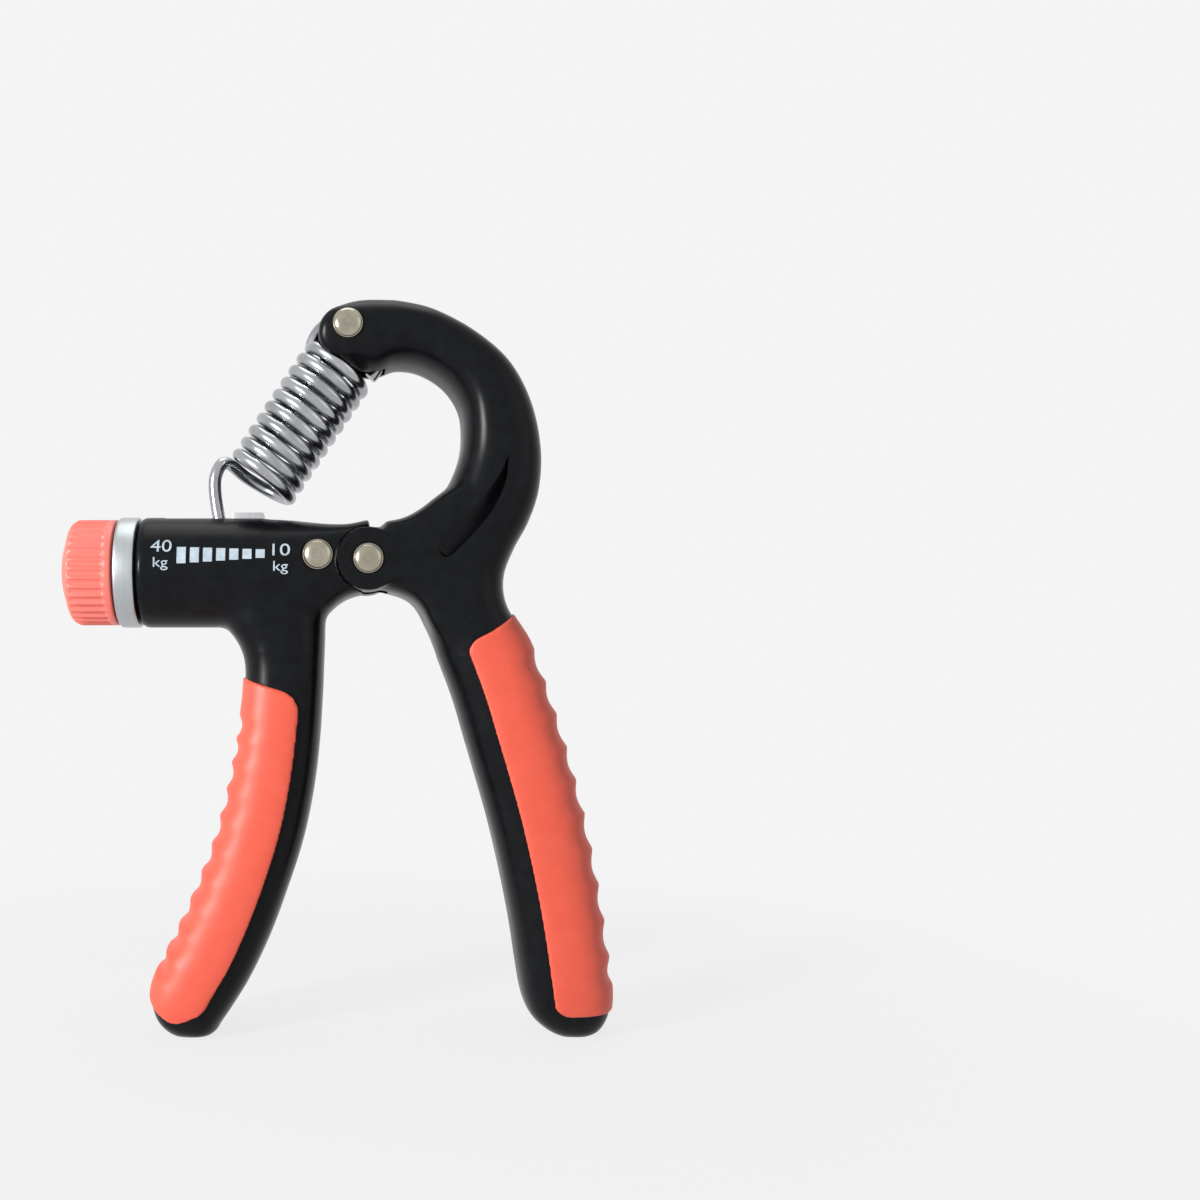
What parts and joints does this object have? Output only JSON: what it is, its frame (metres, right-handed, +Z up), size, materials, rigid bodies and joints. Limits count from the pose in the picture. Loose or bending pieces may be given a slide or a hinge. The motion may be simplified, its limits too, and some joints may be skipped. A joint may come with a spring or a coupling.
{
  "type": "hand grip strengthener",
  "caption": "Adjustable hand grip strengthener with two padded handles, a hinged spring lever, an exposed tension spring and a screw knob that sets the load.",
  "frame": {"origin": "centre of the bounding box's underside, on the surface that the two handle tips stand on", "axes": "+X from the adjuster knob towards the lever, +Y from the front face to the back, +Z up from the handle tips to the spring lever"},
  "size_m": [0.116, 0.0234, 0.1548],
  "materials": {
    "black_moulding": "black satin moulded polypropylene",
    "coral_grip": "coral soft-touch rubber, matt, with finger scallops",
    "coral_knob": "coral satin moulded plastic with moulded ribs",
    "satin_silver": "satin silver ring",
    "zinc_steel": "bright zinc-plated spring steel wire",
    "screw_steel": "zinc-plated steel, turned",
    "link_steel": "plain steel plate",
    "rivet_nickel": "warm nickel-plated rivet"
  },
  "bodies": {
    "left_body": {"left_handle": "black_moulding", "left_grip": "coral_grip", "end_ferrule": "satin_silver", "hinge_tongue": "link_steel", "cross_pin": "rivet_nickel", "cross_pin_cap": "rivet_nickel"},
    "lever": {"lever_arm": "black_moulding", "right_grip": "coral_grip", "pivot_pin": "rivet_nickel", "pivot_pin_cap": "rivet_nickel", "spring_pin": "rivet_nickel", "spring_pin_cap": "rivet_nickel"},
    "adjuster": {"knob": "coral_knob", "knob_cap": "coral_knob", "lead_screw": "screw_steel", "thrust_washer": "screw_steel", "screw_clip": "link_steel"},
    "nut": {"adjuster_nut": "screw_steel"},
    "spring_top": {"spring_bush": "screw_steel"},
    "spring_hook": {"spring": "zinc_steel"}
  },
  "joints": [
    {"name": "squeeze", "type": "hinge", "parent": "left_body", "child": "lever", "pos_m": [0.00655, 0, 0.0998], "axis": [0, 1, 0], "range_deg": [0, 33], "stiffness_Nm_per_rad": 20, "springref_deg": -2.86},
    {"name": "knob_turn", "type": "hinge", "parent": "left_body", "child": "adjuster", "pos_m": [-0.04845, 0, 0.0976], "axis": [-1, 0, 0], "range_deg": [-2880, 1980]},
    {"name": "nut_travel", "type": "slide", "parent": "left_body", "child": "nut", "axis": [1, 0, 0], "range_m": [-0.00801, 0.00551]},
    {"name": "spring_lean", "type": "hinge", "parent": "lever", "child": "spring_top", "pos_m": [0.00235, 0, 0.148], "axis": [0, 1, 0], "range_deg": [-7, 10]},
    {"name": "spring_stretch", "type": "slide", "parent": "spring_top", "child": "spring_hook", "axis": [0.3538, 0, -0.9353], "range_m": [-0.0005, 0.0175], "deforming": ["spring"]}
  ],
  "couplings": [
    {"joint": "knob_turn", "follows": "nut_travel", "rad_per_m": 6283.2},
    {"joint": "spring_lean", "follows": "nut_travel", "rad_per_m": -20.816},
    {"joint": "spring_stretch", "follows": "squeeze", "m_per_rad": 0.02947}
  ]
}
